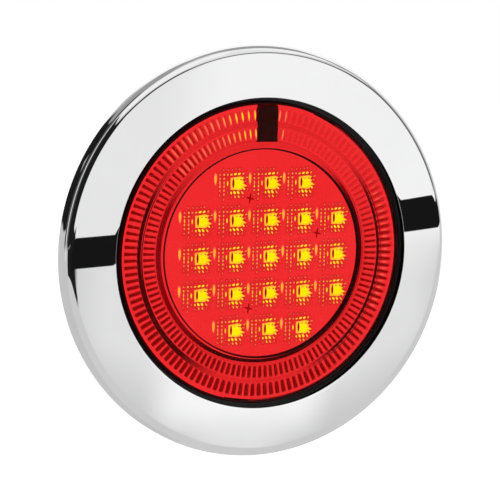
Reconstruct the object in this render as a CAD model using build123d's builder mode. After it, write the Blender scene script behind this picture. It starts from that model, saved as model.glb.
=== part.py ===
"""Round LED tail light with a chrome trim ring that clips on, for a recess in a trailer's panel.

The lamp's axis is Y. The panel's surface is the plane Y = 0, the lens looks along -Y and the
housing passes through the panel to +Y. Heights are measured from the panel towards the front,
so a point at height h has Y = -h, and what is behind the panel has a negative height.
"""
import os
from math import radians, tan

from build123d import *

# Trim ring
RING_R = 75.0               # outer radius, at the skirt
RING_BASE_H = 0.2           # the skirt stops just clear of the panel
RING_SHOULDER = 4.0         # radius of the rounded shoulder
RING_LIP_R = 56.35          # inner radius, beside the lens
RING_LIP_H = 8.6            # height of the lip
RING_SLOPE = 6.7            # the face falls outwards from the lip, degrees
RING_WALL = 1.6
RING_SKIRT_H = 4.0          # how far back the inner skirt reaches
LEG_COUNT = 6               # clip legs, drawn without their bite
LEG_WIDTH = 8.0
LEG_GAP = 0.35              # between the legs and the flange

# Lens
LENS_R = 55.0
LENS_H = 7.85               # crest of the fluted rows
LENS_WALL = 1.8
LENS_SKIRT_R = 53.4         # inside of the lens skirt
LENS_EDGE = 1.7             # rounding from the face to the skirt
LENS_FOOT_H = 3.0
ROW_CROWN = 0.3             # the rows and the bead stand this proud of the face
INNER_ROW = (41.4, 45.6)    # inner and outer radius of each fluted row
BEAD = (46.2, 47.2)         # thin bead between the rows
OUTER_ROW = (47.9, 52.3)
WINDOW_R = 38.2             # the centre window ends in a step here
WINDOW_H = 7.1
WINDOW_STEP = 0.4           # width of that step

# Housing, gasket and mounting
FLANGE_R = 70.5
FLANGE_H = 3.7              # front face of the flange
GASKET_T = 1.2
CUP_R = 52.5
CUP_WALL = 2.0
CUP_DEPTH = 20.0            # from the panel to the back of the cup
BACK_RING = (44.0, 46.0)    # low stiffening ring on the back, and the ribs inside it
BACK_RIB_R = 40.0
BACK_RIB_COUNT = 12
BACK_RIB = (9.0, 1.6)
GROOVE_H = 2.4              # floor of the groove that takes the lens skirt
GROOVE_GAP = 0.15
MOUNT_R = 63.0              # radius of the circle of mounting holes
MOUNT_COUNT = 3
MOUNT_HOLE_R = 2.75         # inside the bushes, for M5 screws
BUSH_R = 3.9
FIT_GAP = 0.05              # round pieces in round seats

# Circuit board
BOARD_R = 49.8
BOARD_H = -6.0              # front face
BOARD_T = 1.6
BOARD_NOTCH_R = 1.5         # locating notches at the board's sides
SPREADER_R = 48.0
SPREADER_T = 1.5
LED_PITCH = 13.34
LED_SIDE = 3.5
LED_T = 1.2
DOME_R = 1.45
SCREW_R = 1.2
SCREW_HEAD_R = 2.2
SCREW_HEAD_T = 1.1
SCREW_LENGTH = 16.0
RECESS = (2.4, 0.6)         # arms of the cross recess, and its depth
RECESS_DEPTH = 0.7
BOSS_R = 3.2
CHIPS_R = 44.2              # the electronics stand on this circle
PIN_R = 0.8
PIN_SPACING = 5.0
PIN_Z = -36.0

# Reflectors, optics and light guides
CLEAR = 0.1                 # between neighbours that don't rest on each other
DIVIDER_R = 40.1
DIVIDER_WALL = 1.3
LEDGE = 1.1                 # the divider's ledges stand out this far
TRAY_R = 38.5
TRAY_H = 0.8                # front face of the reflector tray
TRAY_T = 1.2
REFLECTOR_MOUTH_R = 6.0
REFLECTOR_FOOT_R = 3.0
REFLECTOR_WALL = 0.8
OPTIC_H = 2.4               # back of the pillow optic
OPTIC_T = 1.0
PAD_T = 0.9                 # each LED's square pad stands this far forward
PAD_SIDE = 12.9
HALO_T = 0.4
GUIDE_T = 1.0
FOOT_T = 2.2                # thickness of a light guide's foot, round the lamp
FOOT_SPOT = 2.1             # the feet stand this far to each side of the cover's middle
COVER_X = 1.4               # the cover's middle, just right of 12 o'clock
COVER_WIDTH = 7.8
COVER_T = 0.55
COVER_LIP = 0.35            # its inner wall, between the divider and the inner guide

# Cable entry and vent at the back
GLAND_Z = -31.0
GLAND_R = 6.0
GLAND_FLANGE_R = 8.5
GLAND_LENGTH = 9.0          # behind the cup
CABLE_R = 3.25
VENT_Z = 26.0
VENT_R = 4.5
STEM_R = 2.2
VENT_DRILL_R = 0.35
RESIN_T = 5.0

# Heights and radii that follow
cup_back = -CUP_DEPTH
cup_floor = cup_back + CUP_WALL
cavity_r = CUP_R - CUP_WALL
board_back = BOARD_H - BOARD_T
spreader_back = board_back - SPREADER_T
resin_h = cup_floor + RESIN_T
face_h = LENS_H - ROW_CROWN
lens_back = face_h - LENS_WALL
window_back = WINDOW_H - LENS_WALL
halo_h = FLANGE_H
guide_h = halo_h + HALO_T
cover_h = guide_h + GUIDE_T
gland_back = cup_back - GLAND_LENGTH

LED_SPOTS = [
    (column * LED_PITCH, row * LED_PITCH)
    for row in range(-2, 3)
    for column in range(-2, 3)
    if abs(row) + abs(column) < 4
]
# The board's screws stand at three corners between LED cells
SCREW_SPOTS = [
    (-0.5 * LED_PITCH, 1.5 * LED_PITCH),
    (1.5 * LED_PITCH, 0.5 * LED_PITCH),
    (-0.5 * LED_PITCH, -1.5 * LED_PITCH),
]
PIN_SPOTS = [(step * PIN_SPACING, PIN_Z) for step in (-1, 0, 1)]

# In a PROFILE sketch x is the radius and y the height
PROFILE = Plane(origin=(0, 0, 0), x_dir=(1, 0, 0), z_dir=(0, 0, -1))
BOTTOM = (Align.CENTER, Align.CENTER, Align.MIN)


def at(height):
    """The plane across the lamp's axis at a height, facing forwards, with X right and Z up."""
    return Plane.XZ.offset(height)


def crown(band):
    """One crowned band of the lens face."""
    ThreePointArc((band[0], face_h), (sum(band) / 2, LENS_H), (band[1], face_h))


def save(name, piece):
    """Labels a finished piece and writes it as its own STEP."""
    piece.part.label = name
    export_step(piece.part, f"parts/{name}.step")


os.makedirs("parts", exist_ok=True)

# ---------------------------------------------------------------- trim ring
slope = tan(radians(RING_SLOPE))
shoulder_h = RING_LIP_H - (RING_R - RING_LIP_R) * slope
under_lip_h = RING_LIP_H - RING_WALL * (1 + slope)
under_shoulder_h = shoulder_h - RING_WALL * (1 - slope)
leg_inner_r = FLANGE_R + LEG_GAP
leg_outer_r = RING_R - RING_WALL + 0.3

with BuildPart() as trim_ring:
    with BuildSketch(PROFILE):
        with BuildLine():
            FilletPolyline(
                (RING_R, RING_BASE_H),
                (RING_R, shoulder_h),
                (RING_LIP_R, RING_LIP_H),
                (RING_LIP_R, RING_SKIRT_H),
                (RING_LIP_R + RING_WALL, RING_SKIRT_H),
                (RING_LIP_R + RING_WALL, under_lip_h),
                (RING_R - RING_WALL, under_shoulder_h),
                (RING_R - RING_WALL, RING_BASE_H),
                radius=[0.3, RING_SHOULDER, 0.5, 0.3, 0.3, 0.5, RING_SHOULDER - RING_WALL, 0.3],
                close=True,
            )
        make_face()
    revolve(axis=Axis.Y)
    # Clip legs inside the skirt, which centre the ring on the flange
    with BuildSketch(at(RING_BASE_H + 0.4)):
        with PolarLocations((leg_inner_r + leg_outer_r) / 2, LEG_COUNT, start_angle=30):
            Rectangle(leg_outer_r - leg_inner_r, LEG_WIDTH)
    extrude(amount=under_shoulder_h - RING_BASE_H)
save("trim_ring", trim_ring)

# ---------------------------------------------------------------- lens and its seal
with BuildPart() as lens:
    with BuildSketch(PROFILE):
        with BuildLine():
            Polyline(
                (0, WINDOW_H),
                (WINDOW_R - WINDOW_STEP, WINDOW_H),
                (WINDOW_R, face_h),
                (INNER_ROW[0], face_h),
            )
            crown(INNER_ROW)
            Line((INNER_ROW[1], face_h), (BEAD[0], face_h))
            crown(BEAD)
            Line((BEAD[1], face_h), (OUTER_ROW[0], face_h))
            crown(OUTER_ROW)
            Line((OUTER_ROW[1], face_h), (LENS_R - LENS_EDGE, face_h))
            RadiusArc((LENS_R - LENS_EDGE, face_h), (LENS_R, face_h - LENS_EDGE), LENS_EDGE)
            Polyline(
                (LENS_R, face_h - LENS_EDGE),
                (LENS_R, LENS_FOOT_H),
                (LENS_SKIRT_R, LENS_FOOT_H),
                (LENS_SKIRT_R, lens_back),
                (WINDOW_R, lens_back),
                (WINDOW_R - WINDOW_STEP, window_back),
                (0, window_back),
                (0, WINDOW_H),
            )
        make_face()
    revolve(axis=Axis.Y)
save("lens", lens)

with BuildPart() as lens_seal:
    with BuildSketch(at(GROOVE_H)):
        Circle(LENS_R)
        Circle(LENS_SKIRT_R, mode=Mode.SUBTRACT)
    extrude(amount=LENS_FOOT_H - GROOVE_H)
save("lens_seal", lens_seal)

# ---------------------------------------------------------------- housing
with BuildPart() as housing:
    with BuildSketch(PROFILE):
        with BuildLine():
            FilletPolyline(
                (0, cup_back),
                (CUP_R, cup_back),
                (CUP_R, GASKET_T),
                (FLANGE_R, GASKET_T),
                (FLANGE_R, FLANGE_H),
                (LENS_R + GROOVE_GAP, FLANGE_H),
                (LENS_R + GROOVE_GAP, GROOVE_H),
                (LENS_SKIRT_R - GROOVE_GAP, GROOVE_H),
                (LENS_SKIRT_R - GROOVE_GAP, FLANGE_H),
                (cavity_r, FLANGE_H),
                (cavity_r, cup_floor),
                (0, cup_floor),
                radius=[0, 3.0, 0, 0.4, 0.6, 0, 0, 0, 0, 0, 1.0, 0],
                close=True,
            )
        make_face()
    revolve(axis=Axis.Y)
    # Bosses for the board's screws, and a chimney that keeps the vent clear of resin
    with BuildSketch(at(cup_floor)):
        with Locations(*SCREW_SPOTS):
            Circle(BOSS_R)
    extrude(amount=spreader_back - cup_floor)
    with BuildSketch(at(cup_floor)):
        with Locations((0, VENT_Z)):
            Circle(VENT_R)
    extrude(amount=RESIN_T + 0.5)
    # A raised collar outside round the cable entry, and low ribs across the back
    with BuildSketch(at(cup_back)):
        with Locations((0, GLAND_Z)):
            Circle(GLAND_FLANGE_R + 2.0)
            Circle(GLAND_FLANGE_R + 0.5, mode=Mode.SUBTRACT)
    extrude(amount=-1.5)
    with BuildSketch(at(cup_back)):
        Circle(BACK_RING[1])
        Circle(BACK_RING[0], mode=Mode.SUBTRACT)
        with PolarLocations(BACK_RIB_R, BACK_RIB_COUNT, start_angle=15):
            Rectangle(*BACK_RIB)
    extrude(amount=-1.0)
    # Pilot holes, mounting holes, cable entry and vent hole
    with BuildSketch(at(spreader_back)):
        with Locations(*SCREW_SPOTS):
            Circle(SCREW_R + FIT_GAP)
    extrude(amount=-SCREW_LENGTH / 2, mode=Mode.SUBTRACT)
    with BuildSketch(at(FLANGE_H)):
        with PolarLocations(MOUNT_R, MOUNT_COUNT, start_angle=90):
            Circle(BUSH_R + FIT_GAP)
    extrude(amount=-FLANGE_H, mode=Mode.SUBTRACT)
    with BuildSketch(at(cup_floor)):
        with Locations((0, GLAND_Z)):
            Circle(GLAND_R + FIT_GAP)
    extrude(amount=-CUP_WALL, mode=Mode.SUBTRACT)
    with BuildSketch(at(resin_h + 0.5)):
        with Locations((0, VENT_Z)):
            Circle(STEM_R + FIT_GAP)
    extrude(amount=cup_back - resin_h - 0.5, mode=Mode.SUBTRACT)
save("housing", housing)

# ---------------------------------------------------------------- gasket and bushes
with BuildPart() as mounting_gasket:
    with BuildSketch(at(0)):
        Circle(FLANGE_R - 0.5)
        Circle(CUP_R + 0.3, mode=Mode.SUBTRACT)
        with PolarLocations(MOUNT_R, MOUNT_COUNT, start_angle=90):
            Circle(BUSH_R + FIT_GAP, mode=Mode.SUBTRACT)
    extrude(amount=GASKET_T)
save("mounting_gasket", mounting_gasket)

with BuildPart() as flange_bushes:
    with BuildSketch(at(0)):
        with PolarLocations(MOUNT_R, MOUNT_COUNT, start_angle=90):
            Circle(BUSH_R)
            Circle(MOUNT_HOLE_R, mode=Mode.SUBTRACT)
    extrude(amount=FLANGE_H)
save("flange_bushes", flange_bushes)

# ---------------------------------------------------------------- divider and reflector tray
with BuildPart() as divider_wall:
    with BuildSketch(PROFILE):
        with BuildLine():
            Polyline(
                (DIVIDER_R, BOARD_H + CLEAR),
                (DIVIDER_R, halo_h - LEDGE),
                (DIVIDER_R + LEDGE, halo_h - 0.6),
                (DIVIDER_R + LEDGE, halo_h),
                (DIVIDER_R, halo_h),
                (DIVIDER_R, window_back - CLEAR),
                (DIVIDER_R - DIVIDER_WALL, window_back - CLEAR),
                (DIVIDER_R - DIVIDER_WALL, OPTIC_H),
                (DIVIDER_R - DIVIDER_WALL - LEDGE, OPTIC_H),
                (DIVIDER_R - DIVIDER_WALL - LEDGE, TRAY_H + CLEAR),
                (DIVIDER_R - DIVIDER_WALL, TRAY_H + CLEAR),
                (DIVIDER_R - DIVIDER_WALL, BOARD_H + CLEAR),
                close=True,
            )
        make_face()
    revolve(axis=Axis.Y)
save("divider_wall", divider_wall)

tray_foot_h = BOARD_H + CLEAR
reflector_depth = TRAY_H - tray_foot_h

with BuildPart() as reflector_tray:
    with BuildSketch(at(TRAY_H - TRAY_T)):
        Circle(TRAY_R)
    extrude(amount=TRAY_T)
    with BuildSketch(at(tray_foot_h)):
        with Locations(*SCREW_SPOTS):
            Circle(SCREW_R + 1.2)
    extrude(amount=reflector_depth)
    with Locations(at(tray_foot_h)):
        with Locations(*LED_SPOTS):
            Cone(
                REFLECTOR_FOOT_R + REFLECTOR_WALL,
                REFLECTOR_MOUTH_R + REFLECTOR_WALL,
                reflector_depth,
                align=BOTTOM,
            )
    with Locations(at(tray_foot_h)):
        with Locations(*LED_SPOTS):
            Cone(
                REFLECTOR_FOOT_R,
                REFLECTOR_MOUTH_R,
                reflector_depth,
                align=BOTTOM,
                mode=Mode.SUBTRACT,
            )
    with BuildSketch(at(TRAY_H)):
        with Locations(*SCREW_SPOTS):
            Circle(SCREW_R + FIT_GAP)
    extrude(amount=-reflector_depth, mode=Mode.SUBTRACT)
save("reflector_tray", reflector_tray)

# ---------------------------------------------------------------- pillow optic
with BuildPart() as pillow_optic:
    with BuildSketch(at(OPTIC_H)):
        Circle(DIVIDER_R - DIVIDER_WALL - CLEAR)
    extrude(amount=OPTIC_T)
    with BuildSketch(at(OPTIC_H + OPTIC_T)):
        with Locations(*LED_SPOTS):
            RectangleRounded(PAD_SIDE, PAD_SIDE, 1.0)
        Circle(DIVIDER_R - DIVIDER_WALL - 1.0, mode=Mode.INTERSECT)
    extrude(amount=PAD_T)
save("pillow_optic", pillow_optic)

# ---------------------------------------------------------------- halo reflector, light guides, cover
ridge = (BEAD[0] - 0.1, BEAD[1] + 0.1)
inner_guide = (INNER_ROW[0] - 0.2, INNER_ROW[1] + 0.2)
outer_guide = (OUTER_ROW[0] - 0.1, OUTER_ROW[1] + 0.1)
halo_outer_r = LENS_SKIRT_R - 0.3
foot_bottom_h = BOARD_H + 1.2
foot_width = 2 * (FOOT_SPOT + FOOT_T / 2)
inner_feet = (inner_guide[0] + 0.2, inner_guide[1] - 0.2)
outer_feet = (outer_guide[0] + 0.2, cavity_r - 0.5)


def slot(band, width):
    """A straight slot across a ring under the cover, from one radius to another."""
    with Locations((COVER_X, sum(band) / 2)):
        Rectangle(width, band[1] - band[0], mode=Mode.SUBTRACT)


with BuildPart() as halo_reflector:
    with BuildSketch(at(halo_h)):
        Circle(halo_outer_r)
        Circle(DIVIDER_R + 0.3, mode=Mode.SUBTRACT)
        slot(inner_feet, foot_width + 0.6)
        slot(outer_feet, foot_width + 0.6)
    extrude(amount=HALO_T)
    with BuildSketch(at(guide_h)):
        Circle(ridge[1])
        Circle(ridge[0], mode=Mode.SUBTRACT)
        slot((ridge[0] - 1, ridge[1] + 1), COVER_WIDTH + 0.4)
    extrude(amount=lens_back - CLEAR - guide_h)
save("halo_reflector", halo_reflector)


def c_ring(band):
    """A ring's sketch, open between the two feet."""
    Circle(band[1])
    Circle(band[0], mode=Mode.SUBTRACT)
    slot((band[0] - 1, band[1] + 1), 2 * FOOT_SPOT - FOOT_T)


def feet(band):
    """The sketch of the two feet that reach back to the tail LEDs."""
    with Locations(*[(COVER_X + side * FOOT_SPOT, sum(band) / 2) for side in (-1, 1)]):
        Rectangle(FOOT_T, band[1] - band[0])


with BuildPart() as inner_light_guide:
    with BuildSketch(at(guide_h)):
        c_ring(inner_guide)
    extrude(amount=GUIDE_T)
    with BuildSketch(at(foot_bottom_h)):
        feet(inner_feet)
    extrude(amount=guide_h - foot_bottom_h)
save("inner_light_guide", inner_light_guide)

with BuildPart() as outer_light_guide:
    with BuildSketch(at(guide_h)):
        c_ring(outer_guide)
    extrude(amount=GUIDE_T)
    with BuildSketch(at(foot_bottom_h)):
        feet(outer_feet)
    extrude(amount=guide_h - foot_bottom_h)
save("outer_light_guide", outer_light_guide)

# The black cover hides the feet: a skin over both guides, an inner wall and a middle wall between them
cover_inner_z = DIVIDER_R + 0.3
cover_outer_z = LENS_SKIRT_R - 0.4
with BuildPart() as guide_cover:
    with BuildSketch(at(cover_h)):
        with Locations((COVER_X, (cover_inner_z + cover_outer_z) / 2)):
            Rectangle(COVER_WIDTH, cover_outer_z - cover_inner_z)
    extrude(amount=COVER_T)
    with BuildSketch(at(guide_h)):
        with Locations((COVER_X, cover_inner_z + COVER_LIP / 2)):
            Rectangle(COVER_WIDTH, COVER_LIP)
        with Locations((COVER_X, sum(BEAD) / 2)):
            Rectangle(COVER_WIDTH, BEAD[1] - BEAD[0])
    extrude(amount=GUIDE_T)
save("guide_cover", guide_cover)

# ---------------------------------------------------------------- circuit board and heat spreader
with BuildPart() as main_board:
    with BuildSketch(at(board_back)):
        Circle(BOARD_R)
        with Locations(*SCREW_SPOTS):
            Circle(SCREW_R + FIT_GAP, mode=Mode.SUBTRACT)
        with Locations(*PIN_SPOTS):
            Circle(PIN_R + FIT_GAP, mode=Mode.SUBTRACT)
        with Locations((-BOARD_R, 0), (BOARD_R, 0)):
            Circle(BOARD_NOTCH_R, mode=Mode.SUBTRACT)
    extrude(amount=BOARD_T)
save("main_board", main_board)

with BuildPart() as heat_spreader:
    with BuildSketch(at(spreader_back)):
        Circle(SPREADER_R)
        with Locations(*SCREW_SPOTS):
            Circle(SCREW_R + FIT_GAP, mode=Mode.SUBTRACT)
        with Locations(PIN_SPOTS[1]):
            SlotCenterToCenter(2 * PIN_SPACING, 4.0, mode=Mode.SUBTRACT)
    extrude(amount=SPREADER_T)
save("heat_spreader", heat_spreader)

with BuildPart() as board_screws:
    with BuildSketch(at(TRAY_H)):
        with Locations(*SCREW_SPOTS):
            Circle(SCREW_HEAD_R)
    extrude(amount=SCREW_HEAD_T)
    fillet(board_screws.faces().sort_by(Axis.Y)[:3].edges(), 0.4)
    with BuildSketch(at(TRAY_H)):
        with Locations(*SCREW_SPOTS):
            Circle(SCREW_R)
    extrude(amount=-SCREW_LENGTH)
    # Cross recess in each head
    with BuildSketch(at(TRAY_H + SCREW_HEAD_T)):
        with Locations(*SCREW_SPOTS):
            Rectangle(*RECESS)
            Rectangle(*reversed(RECESS))
    extrude(amount=-RECESS_DEPTH, mode=Mode.SUBTRACT)
save("board_screws", board_screws)

# ---------------------------------------------------------------- LEDs
with BuildPart() as stop_leds:
    with BuildSketch(at(BOARD_H)):
        with Locations(*LED_SPOTS):
            RectangleRounded(LED_SIDE, LED_SIDE, 0.3)
    extrude(amount=LED_T)
save("stop_leds", stop_leds)

with BuildPart() as stop_led_domes:
    with Locations(at(BOARD_H + LED_T)):
        with Locations(*LED_SPOTS):
            Sphere(DOME_R, arc_size1=0, align=BOTTOM)
save("stop_led_domes", stop_led_domes)

tail_led_rows = (sum(inner_feet) / 2, sum(outer_feet) / 2 - 0.4)
with BuildPart() as tail_leds:
    with BuildSketch(at(BOARD_H)):
        with Locations(*[(COVER_X + side * FOOT_SPOT, z) for side in (-1, 1) for z in tail_led_rows]):
            Rectangle(FOOT_T - 0.2, 1.8)
    extrude(amount=0.8)
save("tail_leds", tail_leds)

# ---------------------------------------------------------------- electronics round the board
# Each kind of chip stands in a row on a circle of the board, under the halo reflector
with BuildPart() as resistors:
    with BuildSketch(at(BOARD_H)):
        with PolarLocations(CHIPS_R, 12, start_angle=200, angular_range=88, endpoint=True):
            Rectangle(3.2, 1.6)
    extrude(amount=0.6)
save("resistors", resistors)

with BuildPart() as diodes:
    with BuildSketch(at(BOARD_H)):
        with PolarLocations(CHIPS_R, 3, start_angle=300, angular_range=24, endpoint=True):
            Rectangle(4.4, 2.7)
    extrude(amount=2.1)
    with BuildSketch(at(BOARD_H)):
        with PolarLocations(CHIPS_R, 3, start_angle=300, angular_range=24, endpoint=True):
            Rectangle(5.6, 1.5)
    extrude(amount=0.5)
save("diodes", diodes)

with BuildPart() as driver_chips:
    with BuildSketch(at(BOARD_H + 0.15)):
        with PolarLocations(CHIPS_R, 3, start_angle=340, angular_range=50, endpoint=True):
            Rectangle(4.0, 5.0)
    extrude(amount=1.5)
    with BuildSketch(at(BOARD_H)):
        with PolarLocations(CHIPS_R, 3, start_angle=340, angular_range=50, endpoint=True):
            with GridLocations(0, 1.27, 1, 4):
                Rectangle(6.0, 0.4)
    extrude(amount=0.7)
save("driver_chips", driver_chips)

with BuildPart() as capacitors:
    with BuildSketch(at(BOARD_H)):
        with PolarLocations(CHIPS_R, 3, start_angle=140, angular_range=40, endpoint=True):
            RectangleRounded(6.2, 6.2, 0.8)
    extrude(amount=0.9)
    with BuildSketch(at(BOARD_H + 0.9)):
        with PolarLocations(CHIPS_R, 3, start_angle=140, angular_range=40, endpoint=True):
            Circle(3.0)
    extrude(amount=4.6)
save("capacitors", capacitors)

with BuildPart() as terminal_pins:
    with BuildSketch(at(resin_h + 0.3)):
        with Locations(*PIN_SPOTS):
            Circle(PIN_R)
    extrude(amount=BOARD_H + 1.0 - resin_h - 0.3)
save("terminal_pins", terminal_pins)

# ---------------------------------------------------------------- cable gland
GLAND_PROFILE = Plane(origin=(0, 0, GLAND_Z), x_dir=(1, 0, 0), z_dir=(0, 0, -1))
gland_inner_r = GLAND_R + 1.5
gland_inner_t = 2.0
gland_skirt_h = cup_back - 2.0

with BuildPart() as cable_gland:
    with BuildSketch(GLAND_PROFILE):
        with BuildLine():
            FilletPolyline(
                (CABLE_R, gland_back),
                (CABLE_R + 1.6, gland_back),
                (CABLE_R + 3.0, gland_skirt_h),
                (GLAND_FLANGE_R, gland_skirt_h),
                (GLAND_FLANGE_R, cup_back),
                (GLAND_R, cup_back),
                (GLAND_R, cup_floor),
                (gland_inner_r, cup_floor),
                (gland_inner_r, cup_floor + gland_inner_t),
                (CABLE_R, cup_floor + gland_inner_t),
                radius=[0, 0.5, 1.0, 0.6, 0, 0, 0, 0, 0, 0],
                close=True,
            )
        make_face()
    revolve(axis=Axis((0, 0, GLAND_Z), (0, 1, 0)))
save("cable_gland", cable_gland)

# ---------------------------------------------------------------- vent
VENT_PROFILE = Plane(origin=(0, 0, VENT_Z), x_dir=(1, 0, 0), z_dir=(0, 0, -1))
vent_cap_h = cup_back - 2.6
vent_room = (cup_back - 1.6, cup_back - 0.6)
vent_room_r = VENT_R - 1.1
vent_bore_r = STEM_R - 0.9

with BuildPart() as vent_plug:
    with BuildSketch(VENT_PROFILE):
        with BuildLine():
            Polyline(
                (0, vent_cap_h),
                (VENT_R - 0.8, vent_cap_h),
                (VENT_R, vent_cap_h + 0.8),
                (VENT_R, cup_back),
                (STEM_R, cup_back),
                (STEM_R, resin_h),
                (vent_bore_r, resin_h),
                (vent_bore_r, vent_room[1]),
                (vent_room_r, vent_room[1]),
                (vent_room_r, vent_room[0]),
                (0, vent_room[0]),
                close=True,
            )
        make_face()
    revolve(axis=Axis((0, 0, VENT_Z), (0, 1, 0)))
    # Two cross drillings open the room under the cap to the air
    with Locations((0, -sum(vent_room) / 2, VENT_Z)):
        Cylinder(VENT_DRILL_R, 2 * VENT_R + 1, rotation=(0, 90, 0), mode=Mode.SUBTRACT)
        Cylinder(VENT_DRILL_R, 2 * VENT_R + 1, mode=Mode.SUBTRACT)
save("vent_plug", vent_plug)

with BuildPart() as vent_membrane:
    with BuildSketch(at(vent_room[1] - 0.35)):
        with Locations((0, VENT_Z)):
            Circle(vent_room_r - FIT_GAP)
    extrude(amount=0.3)
save("vent_membrane", vent_membrane)

# ---------------------------------------------------------------- sealing resin on the cup's floor
with BuildPart() as sealing_resin:
    with BuildSketch(at(cup_floor)):
        Circle(cavity_r - 2 * FIT_GAP)
        with Locations(*SCREW_SPOTS):
            Circle(BOSS_R + FIT_GAP, mode=Mode.SUBTRACT)
        with Locations((0, VENT_Z)):
            Circle(VENT_R + FIT_GAP, mode=Mode.SUBTRACT)
    extrude(amount=RESIN_T)
    chamfer(sealing_resin.faces().sort_by(Axis.Y)[-1].outer_wire().edges(), 1.0)
    with BuildSketch(at(cup_floor)):
        with Locations((0, GLAND_Z)):
            Circle(gland_inner_r + FIT_GAP)
    extrude(amount=gland_inner_t, mode=Mode.SUBTRACT)
save("sealing_resin", sealing_resin)
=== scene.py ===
"""Looks of the trailer tail light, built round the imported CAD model.

Lengths inside the shape functions are in millimetres. A profile point is (radius, height): the
radius from the lamp's axis, and the height in front of the panel, so that Y = -height.
"""

import math
import random

import bpy
import numpy as np
from mathutils import Matrix, Vector


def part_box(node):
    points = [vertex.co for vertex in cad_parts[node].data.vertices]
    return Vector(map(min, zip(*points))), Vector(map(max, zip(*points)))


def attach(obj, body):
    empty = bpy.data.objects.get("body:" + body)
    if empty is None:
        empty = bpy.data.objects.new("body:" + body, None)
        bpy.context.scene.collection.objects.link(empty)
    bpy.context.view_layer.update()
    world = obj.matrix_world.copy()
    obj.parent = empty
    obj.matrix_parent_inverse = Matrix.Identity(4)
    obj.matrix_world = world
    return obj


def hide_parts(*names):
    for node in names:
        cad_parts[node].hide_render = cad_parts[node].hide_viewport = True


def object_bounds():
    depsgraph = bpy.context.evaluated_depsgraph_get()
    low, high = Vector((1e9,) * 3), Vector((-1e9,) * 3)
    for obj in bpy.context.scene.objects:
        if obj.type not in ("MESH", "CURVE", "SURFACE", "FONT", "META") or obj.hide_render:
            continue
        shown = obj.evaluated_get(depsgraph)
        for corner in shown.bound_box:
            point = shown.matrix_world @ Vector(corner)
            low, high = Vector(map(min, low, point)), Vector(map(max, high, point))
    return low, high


MM = 0.001
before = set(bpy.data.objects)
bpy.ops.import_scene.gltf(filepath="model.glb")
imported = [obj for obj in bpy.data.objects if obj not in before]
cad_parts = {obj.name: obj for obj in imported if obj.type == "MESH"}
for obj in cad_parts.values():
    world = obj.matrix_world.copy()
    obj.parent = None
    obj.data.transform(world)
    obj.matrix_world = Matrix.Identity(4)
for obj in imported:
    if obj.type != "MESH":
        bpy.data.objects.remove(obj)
cad_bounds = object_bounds()
random.seed(7)


def extent(node):
    """A round node's outer radius, and the heights of its back and front, in millimetres."""
    low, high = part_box(node)
    return (high.x - low.x) / 2 / MM, -high.y / MM, -low.y / MM


RING_R, RING_BASE_H, RING_FRONT_H = extent("trim_ring")
LENS_R, LENS_FOOT_H, LENS_H = extent("lens")
GUIDE_TOP_H = extent("outer_light_guide")[2]
OPTIC_R, OPTIC_BACK_H, OPTIC_H = extent("pillow_optic")

# The lens face, as radii from the axis
FLUTES = 130
INNER_ROW = (41.4, 45.6)
BEAD = (46.2, 47.2)
OUTER_ROW = (47.9, 52.3)
ROW_CROWN = 0.3
BEAD_CROWN = 0.2
FLUTE_DEPTH = 0.1
CENTRE_R = 0.02
WINDOW_R = 38.2
WINDOW_DROP = 0.45
STEP_WIDTH = 0.5
DIVIDER_RIM_R = 38.8
LENS_EDGE = 1.7
LENS_WALL = 1.8
SKIRT_R = 53.7
EDGE_R = 54.0
COVER_X = 1.4
COVER_WIDTH = 7.8
FACE_H = LENS_H - ROW_CROWN

# The LEDs
PITCH = 13.34
SCREW_SPOTS = (
    (-0.5 * PITCH, 1.5 * PITCH),
    (1.5 * PITCH, 0.5 * PITCH),
    (-0.5 * PITCH, -1.5 * PITCH),
)
CELLS = [
    (column * PITCH, row * PITCH)
    for row in range(-2, 3)
    for column in range(-2, 3)
    if abs(row) + abs(column) < 4
]


# ---------------------------------------------------------------- shapes
def rounded(corners, steps=8):
    """A closed outline through corners (x, y, radius), each rounded by an arc."""
    outline = []
    count = len(corners)
    for i, (x, y, radius) in enumerate(corners):
        here = Vector((x, y))
        if radius == 0:
            outline.append((x, y))
            continue
        before = (Vector(corners[i - 1][:2]) - here).normalized()
        after = (Vector(corners[(i + 1) % count][:2]) - here).normalized()
        half = before.angle(after) / 2
        reach = radius / math.tan(half)
        centre = here + (before + after).normalized() * (radius / math.sin(half))
        start = here + before * reach - centre
        end = here + after * reach - centre
        turn = start.angle_signed(end)
        for step in range(steps + 1):
            angle = -turn * step / steps
            spoke = Vector((
                start.x * math.cos(angle) - start.y * math.sin(angle),
                start.x * math.sin(angle) + start.y * math.cos(angle),
            ))
            outline.append(tuple(centre + spoke))
    return outline


def new_piece(name, verts, faces, sharp=40):
    """A mesh object from points in millimetres, smooth except at edges sharper than an angle."""
    mesh = bpy.data.meshes.new(name)
    mesh.from_pydata((np.asarray(verts) * MM).tolist(), [], faces)
    mesh.validate()
    mesh.shade_smooth()
    mesh.set_sharp_from_angle(angle=math.radians(sharp))
    piece = bpy.data.objects.new(name, mesh)
    bpy.context.scene.collection.objects.link(piece)
    return piece


def grid_faces(rows, columns, wrap_rows=False, wrap_columns=False, offset=0):
    """Quads between neighbouring points of a grid, row by row."""
    faces = []
    for i in range(rows if wrap_rows else rows - 1):
        for j in range(columns if wrap_columns else columns - 1):
            a = offset + i * columns + j
            b = offset + i * columns + (j + 1) % columns
            c = offset + (i + 1) % rows * columns + (j + 1) % columns
            d = offset + (i + 1) % rows * columns + j
            faces.append((a, d, c, b))
    return faces


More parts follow.
